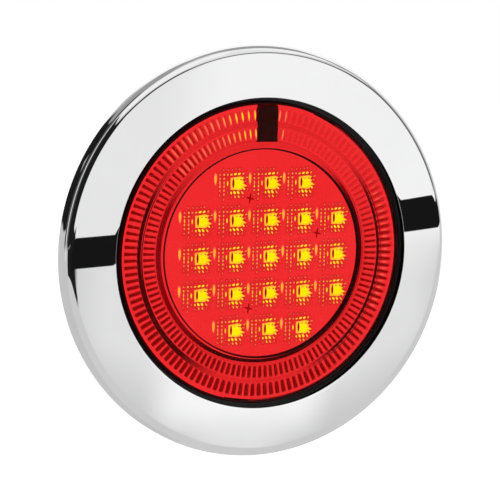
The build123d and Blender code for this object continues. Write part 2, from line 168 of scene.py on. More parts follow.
def lathe(name, profile, segments, lift=None, sharp=40):
    """A ring round the axis from a closed, anticlockwise profile; lift(r, angle, height) raises points."""
    radius, height = np.array(profile).T
    angle = np.arange(segments) * (2 * math.pi / segments)
    r, a = np.meshgrid(radius, angle, indexing="ij")
    h = np.repeat(height[:, None], segments, axis=1)
    if lift is not None:
        h = h + lift(r, a, h)
    verts = np.stack([r * np.cos(a), -h, r * np.sin(a)], axis=-1).reshape(-1, 3)
    faces = [face[::-1] for face in grid_faces(len(profile), segments, True, True)]
    return new_piece(name, verts, faces, sharp)


def smooth_step(value, low, high):
    """0 below low, 1 above high, and a smooth rise between them."""
    t = np.clip((value - low) / (high - low), 0, 1)
    return t * t * (3 - 2 * t)


def band(value, low, high, soft):
    """1 between two limits, falling smoothly to 0 over a soft edge inside each."""
    return smooth_step(value, low, low + soft) * (1 - smooth_step(value, high - soft, high))


# ---------------------------------------------------------------- materials
def new_material(name, colour, roughness=0.5, metallic=0.0):
    """A material with its Principled shader, ready for more nodes."""
    material = bpy.data.materials.new(name)
    material.use_nodes = True
    shader = material.node_tree.nodes["Principled BSDF"]
    shader.inputs["Base Color"].default_value = (*colour, 1)
    shader.inputs["Roughness"].default_value = roughness
    shader.inputs["Metallic"].default_value = metallic
    return material, shader


def node(material, kind, **inputs):
    """Adds a node and sets its named inputs."""
    made = material.node_tree.nodes.new(kind)
    for key, value in inputs.items():
        made.inputs[key.replace("_", " ")].default_value = value
    return made


def link(material, output, target):
    """Joins an output socket to an input socket."""
    material.node_tree.links.new(output, target)


def object_noise(material, scale, detail=3.0):
    """Noise fixed to the object, at so many features to the metre."""
    place = node(material, "ShaderNodeTexCoord")
    noise = node(material, "ShaderNodeTexNoise", Scale=scale, Detail=detail)
    link(material, place.outputs["Object"], noise.inputs["Vector"])
    return noise.outputs["Fac"]


def ramp(material, factor, stops):
    """Colours along a factor: stops are (position, (r, g, b))."""
    made = node(material, "ShaderNodeValToRGB")
    elements = made.color_ramp.elements
    while len(elements) < len(stops):
        elements.new(0.5)
    for element, (position, colour) in zip(elements, stops):
        element.position = position
        element.color = (*colour, 1)
    link(material, factor, made.inputs["Fac"])
    return made.outputs["Color"]


def mottled(material, scale, dark, light):
    """Two tones mixed by noise at so many features to the metre."""
    return ramp(material, object_noise(material, scale), [(0.3, dark), (0.7, light)])


def add_bump(material, shader, height, distance, strength=0.3):
    """Fine surface relief, its depth in metres."""
    bump = node(material, "ShaderNodeBump", Distance=distance, Strength=strength)
    link(material, height, bump.inputs["Height"])
    link(material, bump.outputs["Normal"], shader.inputs["Normal"])


def vary(material, target, factor, low, high):
    """Drives a number socket between two values by a factor."""
    spread = node(material, "ShaderNodeMapRange")
    spread.inputs["To Min"].default_value = low
    spread.inputs["To Max"].default_value = high
    link(material, factor, spread.inputs["Value"])
    link(material, spread.outputs["Result"], target)


def moulded(name, dark, light, roughness, grain=2500, depth=4e-5, strength=0.25):
    """Moulded plastic or rubber: mottled colour, uneven gloss and a fine moulded grain."""
    material, shader = new_material(name, light, roughness)
    gloss = object_noise(material, 400)
    link(material, mottled(material, 90, dark, light), shader.inputs["Base Color"])
    vary(material, shader.inputs["Roughness"], gloss, roughness - 0.07, roughness + 0.07)
    add_bump(material, shader, object_noise(material, grain), depth, strength)
    return material


def metal(name, colour, roughness, grain=1500, depth=1e-5):
    """Plain metal with an uneven gloss."""
    material, shader = new_material(name, colour, roughness, 1.0)
    shade = tuple(0.82 * c for c in colour)
    gloss = object_noise(material, 700)
    link(material, mottled(material, 200, shade, colour), shader.inputs["Base Color"])
    vary(material, shader.inputs["Roughness"], gloss, roughness * 0.8, roughness * 1.25)
    add_bump(material, shader, object_noise(material, grain), depth, 0.15)
    return material


def chrome_plate():
    """Mirror plating with a faintly uneven tone and the finest haze."""
    material, shader = new_material("chrome_plate", (0.93, 0.93, 0.935), 0.03, 1.0)
    tone = mottled(material, 30, (0.91, 0.91, 0.915), (0.95, 0.95, 0.955))
    link(material, tone, shader.inputs["Base Color"])
    vary(material, shader.inputs["Roughness"], object_noise(material, 60), 0.004, 0.016)
    return material


def lens_red():
    """Clear red plastic over the lit parts."""
    material, shader = new_material("lens_red", (0.95, 0.36, 0.33), 0.02)
    shader.inputs["Transmission Weight"].default_value = 1.0
    shader.inputs["IOR"].default_value = 1.49
    shader.inputs["Specular Tint"].default_value = (0.06, 0.04, 0.04, 1)
    tone = mottled(material, 60, (0.93, 0.34, 0.31), (0.97, 0.38, 0.35))
    link(material, tone, shader.inputs["Base Color"])
    return material


def lens_edge_red():
    """The lens's skirt, where the light has a long way through the red; on the window's step it is painted
    shade.
    """
    material, shader = new_material("lens_edge_red", (0.03, 0.001, 0.002), 0.12)
    shader.inputs["Specular Tint"].default_value = (0.3, 0.22, 0.25, 1)
    shader.inputs["Specular IOR Level"].default_value = 0.2
    tone = mottled(material, 80, (0.02, 0.0005, 0.001), (0.04, 0.001, 0.002))
    link(material, tone, shader.inputs["Base Color"])
    return material


def lit(name, attribute, stops):
    """A surface that shines by a stored value, from the shadowed colour to the brightest."""
    material, shader = new_material(name, (0.1, 0.002, 0.002), 0.4)
    shader.inputs["Specular IOR Level"].default_value = 0.1
    stored = node(material, "ShaderNodeAttribute")
    stored.attribute_name = attribute
    strength = max(max(colour) for _, colour in stops)
    scaled = [(position, tuple(c / strength for c in colour)) for position, colour in stops]
    link(material, ramp(material, stored.outputs["Fac"], scaled), shader.inputs["Emission Color"])
    shader.inputs["Emission Strength"].default_value = strength
    return material


def glowing(name, low, high, scale=70, strength=1.0):
    """A lit red surface with soft unevenness."""
    material, shader = new_material(name, (0.1, 0.002, 0.002), 0.4)
    shader.inputs["Specular IOR Level"].default_value = 0.1
    link(material, mottled(material, scale, low, high), shader.inputs["Emission Color"])
    shader.inputs["Emission Strength"].default_value = strength
    return material


def math_node(material, operation, a, b=None, c=None):
    """A maths node on numbers or on other nodes' outputs."""
    made = material.node_tree.nodes.new("ShaderNodeMath")
    made.operation = operation
    for socket, value in zip(made.inputs, (a, b, c)):
        if value is None:
            continue
        if isinstance(value, (int, float)):
            socket.default_value = value
        else:
            link(material, value, socket)
    return made.outputs[0]


def soft_edge(material, value, low, high):
    """0 below low, 1 above high."""
    made = material.node_tree.nodes.new("ShaderNodeMapRange")
    made.interpolation_type = "SMOOTHSTEP"
    made.inputs["From Min"].default_value = low
    made.inputs["From Max"].default_value = high
    link(material, value, made.inputs["Value"])
    return made.outputs["Result"]


def place_nodes(material):
    """The radius from the axis in millimetres, and how far right and how low on the lamp, from -1 to 1."""
    place = node(material, "ShaderNodeTexCoord")
    split = node(material, "ShaderNodeSeparateXYZ")
    link(material, place.outputs["Object"], split.inputs[0])
    x, _, z = split.outputs
    z_square = math_node(material, "MULTIPLY", z, z)
    radius = math_node(material, "SQRT", math_node(material, "MULTIPLY_ADD", x, x, z_square))
    right = math_node(material, "DIVIDE", x, radius)
    low = math_node(material, "DIVIDE", math_node(material, "MULTIPLY", z, -1.0), radius)
    return math_node(material, "DIVIDE", radius, MM), right, low


def glow_shader(name):
    """A dark surface with next to no gloss, ready to be given its light."""
    material, shader = new_material(name, (0.03, 0.001, 0.001), 0.5)
    shader.inputs["Specular IOR Level"].default_value = 0.05
    shader.inputs["Emission Strength"].default_value = 1.0
    return material, shader


def halo_seat():
    """The seat under the light guides, glowing with painted light: painted shade at the lamp's sides, and
    lit at the top and the bottom.
    """
    material, shader = glow_shader("halo_seat")
    radius, right, low = place_nodes(material)
    # Painted shade: strongest at the lamp's sides, none at the top or bottom, and only out beyond the
    # inner row's edge.
    side = soft_edge(material, math_node(material, "ABSOLUTE", right), 0.3, 0.75)
    not_top = soft_edge(material, low, -0.8, -0.3)
    outside = soft_edge(material, radius, INNER_ROW[0] - 0.6, INNER_ROW[0])
    dark = math_node(material, "MULTIPLY", math_node(material, "MULTIPLY", side, not_top), outside)
    shade_and_mottle = math_node(material, "MULTIPLY_ADD", object_noise(material, 300), 0.12, dark)
    tone = ramp(material, shade_and_mottle, [(0.05, (0.76, 0.045, 0.055)), (0.95, (0.055, 0.001, 0.002))])
    link(material, tone, shader.inputs["Emission Color"])
    return material


def divider_red():
    """The divider: its inner wall glows with painted light from the stop light, its rim takes painted
    shade but for the top.
    """
    material, shader = glow_shader("divider_wall")
    radius, right, low = place_nodes(material)
    # Painted shade on the rim: none at the top, and less of it on the left, where depth lightens it.
    rim = soft_edge(material, radius, DIVIDER_RIM_R + 0.02, DIVIDER_RIM_R + 0.2)
    not_top = soft_edge(material, low, -0.9, -0.3)
    left = soft_edge(material, math_node(material, "MULTIPLY", right, -1.0), 0.3, 0.9)
    depth = math_node(material, "MULTIPLY_ADD", left, -0.45, 1.0)
    dark = math_node(material, "MULTIPLY", math_node(material, "MULTIPLY", rim, not_top), depth)
    shade_and_mottle = math_node(material, "MULTIPLY_ADD", object_noise(material, 250), 0.1, dark)
    stops = [(0.05, (0.80, 0.05, 0.06)), (0.55, (0.25, 0.003, 0.01)), (0.95, (0.03, 0.0, 0.001))]
    tone = ramp(material, shade_and_mottle, stops)
    link(material, tone, shader.inputs["Emission Color"])
    return material


GLOW_STOPS = [
    (0.0, (0.02, 0.0, 0.0)),
    (0.25, (0.30, 0.004, 0.004)),
    (0.5, (0.86, 0.06, 0.075)),
    (0.7, (0.98, 0.45, 0.25)),
    (0.85, (1.05, 1.0, 0.1)),
    (1.0, (1.1, 2.3, 0.0)),
]

chrome = chrome_plate()
red = lens_red()
edge_red = lens_edge_red()
guide_glow = lit("light_guide", "glow", GLOW_STOPS)
optic_glow = lit("clear_optic", "glow", GLOW_STOPS)
spark_glow = lit("led_image", "glow", GLOW_STOPS)
MATERIALS = {
    "housing": moulded("black_plastic", (0.012, 0.012, 0.013), (0.02, 0.02, 0.022), 0.48),
    "mounting_gasket": moulded("gasket_rubber", (0.02, 0.02, 0.02), (0.035, 0.035, 0.035), 0.75, 4000),
    "cable_gland": moulded("gland_rubber", (0.016, 0.016, 0.016), (0.028, 0.028, 0.028), 0.62, 3000),
    "lens_seal": moulded("seal_rubber", (0.012, 0.012, 0.012), (0.02, 0.02, 0.02), 0.7),
    "guide_cover": moulded("cover_plastic", (0.002, 0.001, 0.001), (0.004, 0.002, 0.002), 0.6),
    "divider_wall": divider_red(),
    "vent_plug": moulded("vent_plastic", (0.03, 0.03, 0.032), (0.05, 0.05, 0.052), 0.4),
    "vent_membrane": moulded("membrane", (0.7, 0.7, 0.69), (0.85, 0.85, 0.84), 0.8, 6000),
    "flange_bushes": metal("steel_bush", (0.62, 0.62, 0.63), 0.28),
    "board_screws": metal("steel_screw", (0.55, 0.55, 0.56), 0.3),
    "heat_spreader": metal("spreader", (0.75, 0.75, 0.76), 0.4),
    "capacitors": metal("can", (0.78, 0.78, 0.79), 0.32),
    "terminal_pins": metal("pin_brass", (0.83, 0.66, 0.32), 0.3),
    "main_board": moulded("board", (0.68, 0.67, 0.63), (0.76, 0.75, 0.71), 0.45),
    "stop_leds": moulded("led_body", (0.78, 0.76, 0.7), (0.87, 0.85, 0.8), 0.5),
    "resistors": moulded("chip_resistor", (0.02, 0.02, 0.022), (0.04, 0.04, 0.042), 0.4),
    "diodes": moulded("chip_diode", (0.02, 0.02, 0.02), (0.035, 0.035, 0.035), 0.5),
    "driver_chips": moulded("chip_driver", (0.016, 0.016, 0.018), (0.03, 0.03, 0.032), 0.5),
    "sealing_resin": moulded("resin", (0.012, 0.012, 0.014), (0.02, 0.02, 0.022), 0.25, 300),
    # The reflector tray and the halo seat glow with painted light, for the LEDs' light on them; the domes
    # and tail LEDs are the lamps.
    "reflector_tray": glowing("reflector", (0.75, 0.03, 0.03), (0.9, 0.045, 0.045)),
    "halo_reflector": halo_seat(),
    "stop_led_domes": glowing("dome_light", (1.0, 0.8, 0.05), (1.0, 0.9, 0.1), 900, 3.0),
    "tail_leds": glowing("tail_light", (1.0, 0.15, 0.08), (1.0, 0.25, 0.1), 900, 3.0),
}


def dress(piece, *materials):
    """Gives a piece its materials in place of any it had."""
    piece.data.materials.clear()
    for material in materials:
        piece.data.materials.append(material)


for name, material in MATERIALS.items():
    dress(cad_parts[name], material)


# ---------------------------------------------------------------- trim ring
LIP_R = 56.35
LIP_H = 8.6
SLOPE = math.tan(math.radians(6.7))
RING_WALL = 1.6
SHOULDER = 4.0
FACE_DOME = 0.073
INNER_SKIRT_H = 4.0
LEG_COUNT = 6
LEG_WIDTH = 8.0
LEG_INNER_R = 70.85
LEG_FOOT_H = 0.6
LEG_TOP_H = 5.0
LEG_LEAD_IN = 0.6


def ring_face(r):
    """Height of the ring's face at a radius; it falls outwards and is slightly domed."""
    t = (r - LIP_R) / (RING_R - LIP_R)
    return LIP_H - (r - LIP_R) * SLOPE + FACE_DOME * 4 * t * (1 - t)


def trim_ring():
    """The plated ring: a broad face that falls outwards, a round shoulder and a turned-in lip."""
    shoulder_h = ring_face(RING_R)
    profile = rounded(
        [
            (RING_R, RING_BASE_H, 0.3),
            (RING_R, shoulder_h, SHOULDER),
            *[(r, ring_face(r), 0) for r in np.linspace(71, 57.5, 14)],
            (LIP_R, LIP_H, 0.08),
            (LIP_R, INNER_SKIRT_H, 0.3),
            (LIP_R + RING_WALL, INNER_SKIRT_H, 0.3),
            (LIP_R + RING_WALL, LIP_H - RING_WALL * (1 + SLOPE), 0.5),
            (RING_R - RING_WALL, shoulder_h - RING_WALL * (1 - SLOPE), SHOULDER - RING_WALL),
            (RING_R - RING_WALL, RING_BASE_H, 0.3),
        ],
        steps=16,
    )
    piece = lathe("trim_ring_plated", profile, 720, sharp=60)
    dress(piece, chrome)
    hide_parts("trim_ring")
    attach(piece, "trim")


trim_ring()


def clip_legs():
    """Six legs inside the ring's skirt, each with a lead-in at its foot."""
    outer_r = RING_R - RING_WALL + 0.3
    leg = [
        (LEG_INNER_R, LEG_FOOT_H + LEG_LEAD_IN),
        (LEG_INNER_R + LEG_LEAD_IN, LEG_FOOT_H),
        (outer_r, LEG_FOOT_H),
        (outer_r, LEG_TOP_H),
        (LEG_INNER_R, LEG_TOP_H),
    ]
    verts = []
    faces = []
    for k in range(LEG_COUNT):
        turn = math.radians(30 + 360 / LEG_COUNT * k)
        first = len(verts)
        for across in (-LEG_WIDTH / 2, LEG_WIDTH / 2):
            for r, h in leg:
                verts.append((
                    r * math.cos(turn) - across * math.sin(turn),
                    -h,
                    r * math.sin(turn) + across * math.cos(turn),
                ))
        count = len(leg)
        faces += grid_faces(2, count, wrap_columns=True, offset=first)
        faces.append(tuple(first + i for i in range(count)))
        faces.append(tuple(first + count + i for i in reversed(range(count))))
    piece = new_piece("trim_ring_clip_legs", verts, faces, 30)
    dress(piece, chrome)
    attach(piece, "trim")


clip_legs()


# ---------------------------------------------------------------- lens
def face_profile():
    """Points of the lens face from the axis out to the skirt: (radius, height)."""
    points = [(CENTRE_R, FACE_H - WINDOW_DROP)]
    points += [(r, FACE_H - WINDOW_DROP) for r in np.linspace(4, WINDOW_R - 1, 8)]
    for t in np.linspace(0, 1, 9):
        points.append((WINDOW_R - STEP_WIDTH * (1 - t), FACE_H - WINDOW_DROP * (1 - smooth_step(t, 0, 1))))
    for start, end, rise, soft, steps in (
        (*INNER_ROW, ROW_CROWN, 1.1, 20),
        (*BEAD, BEAD_CROWN, 0.5, 9),
        (*OUTER_ROW, ROW_CROWN, 1.1, 20),
    ):
        for r in np.linspace(start, end, steps):
            points.append((r, FACE_H + rise * band(r, start, end, soft)))
    for t in np.linspace(0, 1, 10):
        angle = math.pi / 2 * t
        across = LENS_EDGE * (1 - math.sin(angle))
        drop = LENS_EDGE * (1 - math.cos(angle))
        points.append((LENS_R - across, FACE_H - drop))
    return points


def flute_lift(r, angle, height):
    """Radial flutes pressed into the two rows of the face."""
    rows = band(r, *INNER_ROW, 0.7) + band(r, *OUTER_ROW, 0.7)
    on_face = smooth_step(height, FACE_H - 0.1, FACE_H)
    return FLUTE_DEPTH * (np.cos(FLUTES * angle) - 1) / 2 * rows * on_face


def lens():
    """The red lens, with its two fluted rows in real relief."""
    face = face_profile()
    back_h = FACE_H - LENS_WALL
    window_back_h = back_h - WINDOW_DROP
    profile = face[::-1] + [
        (CENTRE_R, window_back_h),
        (WINDOW_R - STEP_WIDTH, window_back_h),
        (WINDOW_R, back_h),
        (SKIRT_R, back_h),
        (SKIRT_R, LENS_FOOT_H),
        (LENS_R, LENS_FOOT_H),
    ]
    piece = lathe("lens_fluted", profile, FLUTES * 10, flute_lift, sharp=35)
    dress(piece, red, edge_red)
    # The window's step takes the dark skirt material too, as painted shade: a dark line round the window.
    dark_bands = ((WINDOW_R - STEP_WIDTH, WINDOW_R), (EDGE_R, LENS_R))
    for polygon in piece.data.polygons:
        radius = math.hypot(polygon.center.x, polygon.center.z) / MM
        if any(low < radius < high for low, high in dark_bands):
            polygon.material_index = 1
    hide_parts("lens")
    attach(piece, "lamp")


lens()


# ---------------------------------------------------------------- light guides
GUIDE_BACK_H = 4.1
GUIDE_GAP = 0.1
RIB_DEPTH = 0.6
INNER_TOP_H = GUIDE_TOP_H + 0.5
OUTER_TOP_H = GUIDE_TOP_H - 0.3


def store(piece, values):
    """Keeps one brightness for each point of a piece, for its material to read."""
    layer = piece.data.attributes.new("glow", "FLOAT", "POINT")
    layer.data.foreach_set("value", np.asarray(values, dtype=np.float32).ravel())


def shade_at(angle):
    """How much painted shade the gaps between ribs get at an angle: 0 just right of the top, 1 from the
    sides down.
    """
    return smooth_step(-np.cos(angle - math.radians(72)), -0.95, -0.2)


def light_guide(name, node_name, row, rim_r, top_h):
    """A light guide whose ribs throw the light forwards, with painted shade in the gaps between its ribs;
    rim_r is the edge of its plain rim.
    """
    steps = 12
    count = FLUTES * steps
    inner_r, outer_r = row[0] - 0.15, row[1] + 0.1
    row_radii = np.linspace(inner_r + 0.05, outer_r - 0.05, 18)
    radii = np.concatenate([[inner_r], row_radii, [outer_r, rim_r, rim_r + 0.05]])
    middle = math.pi / 2 - COVER_X / outer_r
    half_gap = GUIDE_GAP / outer_r / 2
    floor_h = top_h - RIB_DEPTH
    angle = np.linspace(middle + half_gap, middle - half_gap + 2 * math.pi, count)
    r, a = np.meshgrid(radii, angle, indexing="ij")
    across = band(r, inner_r + 0.05, outer_r, 0.45)
    rib = smooth_step(np.cos(FLUTES * a), -0.4, 0.45)
    rim = smooth_step(r, outer_r - 0.2, outer_r)
    top = floor_h + RIB_DEPTH * np.maximum(rib * across, rim)
    top[0] = top[-1] = GUIDE_BACK_H
    verts = np.stack([r * np.cos(a), -top, r * np.sin(a)], axis=-1).reshape(-1, 3)
    piece = new_piece(name, verts, grid_faces(len(radii), count), 50)
    # Painted shade in the gaps between ribs and at the rows' ends, by the angle round the lamp.
    gaps = (1 - rib) * across * (0.06 + 0.29 * shade_at(a))
    glow = 0.5 - gaps - 0.06 * (1 - across) * shade_at(a) * (r < outer_r - 0.2)
    # Painted shade under the cover: the guide there is given no glow.
    under_cover = (np.abs(r * np.cos(a) - COVER_X) < COVER_WIDTH / 2) & (np.sin(a) > 0)
    store(piece, np.where(under_cover, 0.0, glow))
    dress(piece, guide_glow)
    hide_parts(node_name)
    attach(piece, "lamp")


light_guide("inner_guide_ribbed", "inner_light_guide", INNER_ROW, INNER_ROW[1] + 0.15, INNER_TOP_H)
light_guide("outer_guide_ribbed", "outer_light_guide", OUTER_ROW, SKIRT_R - 0.15, OUTER_TOP_H)


# ---------------------------------------------------------------- pillow optic
PILLOWS = 9
PILLOW = PITCH / PILLOWS
PILLOW_RISE = 0.2
# An LED's bright image stands off its cell's middle, and painted shade, its dim surround, spreads round
# the image
CORE_SHIFT = (3.8, -1.3)
DIM_ACROSS = (-8.0, 4.4)
DIM_UP = (-6.0, 5.4)
DIM_SOFT = 1.2


def pillow_optic():
    """The plate of square pillows over the LEDs, with painted shade between the pillows round each LED."""
    step = PILLOW / 4
    half = int(OPTIC_R / step)
    line = np.arange(-half, half + 1) * step
    z, x = np.meshgrid(line, line, indexing="ij")
    u = np.abs((x / PILLOW + 0.5) % 1 - 0.5) * 2
    w = np.abs((z / PILLOW + 0.5) % 1 - 0.5) * 2
    h = OPTIC_H - PILLOW_RISE + PILLOW_RISE * (1 - u * u) * (1 - w * w)
    shade_round_led = np.zeros_like(x)
    for cell_x, cell_z in CELLS:
        across = band(x - cell_x - CORE_SHIFT[0], *DIM_ACROSS, DIM_SOFT)
        up = band(z - cell_z - CORE_SHIFT[1], *DIM_UP, DIM_SOFT)
        shade_round_led = np.maximum(shade_round_led, across * up)
    glow = 0.5 - shade_round_led * (0.015 + 0.03 * np.maximum(u, w) ** 2)
    verts = np.stack([x, -h, z], axis=-1).reshape(-1, 3)
    size = len(line)
    inside = (np.hypot(x, z) < OPTIC_R - step).reshape(-1)
    faces = [f[::-1] for f in grid_faces(size, size) if all(inside[i] for i in f)]
    piece = new_piece("pillow_optic_face", verts, faces, 60)
    store(piece, glow)
    dress(piece, optic_glow)
    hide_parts("pillow_optic")
    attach(piece, "lamp")


pillow_optic()


# Glints of one LED in the pillows round it, seen from the camera's side: x and z from the middle of
# its bright image, length, width, angle of the long axis from +X, and brightness
GLINTS = (
    (-2.4, 3.3, 1.0, 0.45, 25, 0.76),
    (-0.9, 3.45, 1.2, 0.55, 22, 0.95),
    (0.6, 3.5, 1.2, 0.55, 25, 0.92),
    (2.2, 3.6, 1.0, 0.35, 50, 0.76),
    (-3.8, 3.3, 0.7, 0.5, 60, 0.7),
    (-5.2, 3.3, 0.8, 0.5, 85, 0.72),
    (-6.8, 3.3, 0.8, 0.35, 130, 0.68),
    (-5.5, 5.0, 0.6, 0.35, 90, 0.6),
    (-3.6, 5.0, 0.6, 0.3, 80, 0.58),
    (-2.1, 5.0, 0.6, 0.3, 60, 0.6),
    (-0.6, 5.1, 0.6, 0.3, 50, 0.58),
    (0.7, 5.2, 0.7, 0.35, 55, 0.62),
    (3.6, 2.2, 1.1, 0.3, 22, 0.72),
    (3.2, 0.9, 0.8, 0.35, 10, 0.63),
    (2.5, -1.8, 1.2, 0.5, -45, 0.88),
    (3.9, -2.0, 0.7, 0.25, -40, 0.6),
    (-2.4, -3.3, 1.0, 0.5, 100, 0.8),
    (-1.1, -3.2, 1.3, 0.6, 130, 0.96),
    (0.3, -3.2, 1.3, 0.6, 128, 0.96),
    (1.9, -3.3, 1.4, 0.4, 130, 0.76),
    (-2.4, -4.9, 0.7, 0.3, 95, 0.6),
    (-0.9, -4.7, 1.1, 0.4, 115, 0.76),
    (0.5, -4.7, 1.1, 0.4, 125, 0.75),
    (2.1, -4.7, 0.7, 0.3, 130, 0.6),
    (-3.85, 0.1, 1.9, 0.45, 90, 0.8),
    (-3.8, -3.2, 0.9, 0.25, 90, 0.6),
    (-5.2, 1.9, 0.8, 0.45, 60, 0.72),
    (-5.2, 0.4, 1.4, 0.35, 90, 0.66),
    (-5.2, -1.0, 1.0, 0.45, 90, 0.73),
    (-5.2, -2.4, 0.9, 0.45, 85, 0.72),
    (-5.2, -3.8, 0.9, 0.4, 75, 0.68),
    (-5.3, -5.6, 0.8, 0.3, 75, 0.6),
    (-6.8, 1.9, 0.8, 0.4, 130, 0.74),
    (-6.8, 0.4, 1.6, 0.4, 90, 0.72),
    (-6.8, -1.0, 1.0, 0.45, 90, 0.74),
    (-6.8, -2.4, 0.8, 0.4, 50, 0.68),
    (-6.9, -4.1, 0.6, 0.35, 60, 0.62),
)
CORE = (
    (-2.7, 2.1), (-0.8, 2.35), (0.9, 2.6), (2.6, 2.2), (1.9, 1.3), (2.7, 0.7), (2.2, 0.1),
    (3.8, -0.9), (2.4, -1.2), (1.7, -2.2), (0.4, -2.4), (-1.2, -2.2), (-2.6, -2.2), (-2.75, 0.0),
)
# Darker marks in each LED's bright image, painted shade: x, z, length, width, angle of the long axis from
# +X, and brightness
CORE_DARK_MARKS = (
    (-1.65, 0.15, 3.9, 0.95, 90, 0.2),
    (-0.6, -2.4, 2.2, 0.4, -4, 0.25),
    (1.3, 1.5, 0.9, 0.5, 10, 0.4),
    (-0.2, 1.5, 1.0, 0.35, 20, 0.72),
)
# A painted glint shaped like a drop, left of each LED's image: x, z, length, width, angle and brightness
DROP = (-8.5, 1.7, 4.8, 1.2, 90, 0.87)
GLINT_H = OPTIC_H + 0.1


class Patches:
    """Thin raised patches of painted light and painted shade, gathered into one mesh."""

    def __init__(self, height):
        self.height = height
        self.verts = []
        self.faces = []
        self.glow = []

    def add(self, centre, outline, rim_glow, glow, lift=0.0):
        """A patch with one glow at its middle and another at its rim; outline is a closed run of (x, z).
        """
        first = len(self.verts)
        self.verts.append((centre[0], -self.height - lift - 0.05, centre[1]))
        self.glow.append(glow)
        for scale, level in ((0.6, glow), (1.0, rim_glow)):
            for x, z in outline:
                place = (centre[0] + (x - centre[0]) * scale, centre[1] + (z - centre[1]) * scale)
                self.verts.append((place[0], -self.height - lift - 0.05 * (1.4 - scale), place[1]))
                self.glow.append(level)
        count = len(outline)
        for i in range(count):
            j = (i + 1) % count
            self.faces.append((first, first + 1 + j, first + 1 + i))
            self.faces.append((first + 1 + i, first + 1 + j, first + 1 + count + j, first + 1 + count + i))

    def stroke(self, x, z, length, width, angle, rim_glow, glow, lift=0.0, taper=0.0):
        """A rounded stroke of painted light or painted shade, as its glow sets; with a taper it is a drop,
        widest towards its start.
        """
        turn = math.radians(angle)
        outline = []
        for step in range(12):
            t = 2 * math.pi * step / 12
            along = length / 2 * math.cos(t)
            across = width / 2 * math.sin(t) * (1 + taper * math.cos(t))
            outline.append((
                x + along * math.cos(turn) - across * math.sin(turn),
                z + along * math.sin(turn) + across * math.cos(turn),
            ))
        self.add((x, z), outline, rim_glow, glow, lift)

    def build(self, name, material):
        """Makes one piece of the patches, fixed to the lamp."""
        piece = new_piece(name, self.verts, self.faces, 80)
        store(piece, self.glow)
        dress(piece, material)
        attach(piece, "lamp")


def led_images():
    """Painted images of the LEDs as the pillows show them: a bright core and dashes round it, each on a
    patch of painted shade, and a drop to the left.
    """
    shades = Patches(OPTIC_H + 0.02)
    cores = Patches(GLINT_H)
    glints = Patches(GLINT_H)
    for cell_x, cell_z in CELLS:
        middle_x = cell_x + CORE_SHIFT[0]
        middle_z = cell_z + CORE_SHIFT[1]
        outline = [(middle_x + x, middle_z + z) for x, z in CORE]
        cores.add((middle_x, middle_z), outline[::-1], 0.86, 1.0)
        # Painted shade: a dark patch behind the core, and one behind each dash.
        shades.stroke(middle_x + 0.1, middle_z, 7.4, 6.6, 0, 0.46, 0.33)
        for x, z, length, width, angle, glow in CORE_DARK_MARKS:
            cores.stroke(middle_x + x, middle_z + z, length, width, angle, 0.78, glow, 0.06)
        for x, z, length, width, angle, glow in GLINTS:
            level = 0.52 + (glow - 0.5) * 1.5 + random.uniform(-0.06, 0.06)
            glints.stroke(middle_x + x, middle_z + z, length * 1.15, width * 1.45, angle, 0.6, level)
            shades.stroke(middle_x + x, middle_z + z, length + 1.3, width + 0.9, angle, 0.48, 0.36, -0.01)
        x, z, length, width, angle, glow = DROP
        glints.stroke(middle_x + x, middle_z + z, length, width, angle, 0.55, glow, 0.0, 0.3)
    # Dark crosses where the board screws are, put among the glints.
    for x, z in SCREW_SPOTS:
        for angle, length in ((-15, 4.0), (82, 4.6)):
            glints.stroke(x + 2.1, z, length, 0.8, angle, 0.45, 0.2)
    shades.build("led_shade_images", optic_glow)
    cores.build("led_core_images", spark_glow)
    glints.build("led_glint_images", spark_glow)


led_images()


# Angles round the lamp, in degrees, between which its ribs have painted glints
LEFT_GLINT_ANGLES = (93, 137)
LEFT_BRIGHTEST = 97
LEFT_FADE = 14
RIGHT_GLINT_ANGLES = (78, 86)


def rib_glint_level(degrees, strength):
    """How bright a rib's painted glint is at an angle round the lamp, or None where there is none."""
    if LEFT_GLINT_ANGLES[0] < degrees < LEFT_GLINT_ANGLES[1]:
        return 0.62 + strength * 0.34 * math.exp(-(((degrees - LEFT_BRIGHTEST) / LEFT_FADE) ** 2))
    if RIGHT_GLINT_ANGLES[0] < degrees < RIGHT_GLINT_ANGLES[1]:
        return 0.7
    return None


def painted_rib_glints():
    """Painted glints on the ribs, strongest to the left of the cover and faint on the right."""
    rib_glints = Patches(INNER_TOP_H + 0.02)

    def add(radius, degrees, length, width, rim_glow, glow):
        angle = math.radians(degrees)
        x = radius * math.cos(angle)
        z = radius * math.sin(angle)
        rib_glints.stroke(x, z, length, width, degrees, rim_glow, glow)

    for k in range(FLUTES):
        degrees = 360 / FLUTES * k
        for row, strength in ((OUTER_ROW, 1.0), (INNER_ROW, 0.8)):
            level = rib_glint_level(degrees, strength)
            if level is None:
                continue
            level += random.uniform(-0.06, 0.05)
            middle = sum(row) / 2
            if abs(middle * math.cos(math.radians(degrees)) - COVER_X) < COVER_WIDTH / 2 + 0.4:
                continue
            add(middle, degrees, row[1] - row[0] - 0.6, 0.75, 0.6, level)
        if degrees < 32 or degrees > 335:
            add(OUTER_ROW[0] + 1.6, degrees, 2.4, 0.4, 0.52, 0.64 + random.uniform(-0.05, 0.06))
    rib_glints.build("painted_rib_glints", spark_glow)


painted_rib_glints()


# ---------------------------------------------------------------- studio
CAMERA_AZIMUTH = -22.73
CAMERA_ELEVATION = 7.17
CAMERA_ROLL = 0.98
CAMERA_DISTANCE = 0.715
CAMERA_TARGET = Vector((0.0002, 0.0056, -0.0002))
CAMERA_LENS = 140.3


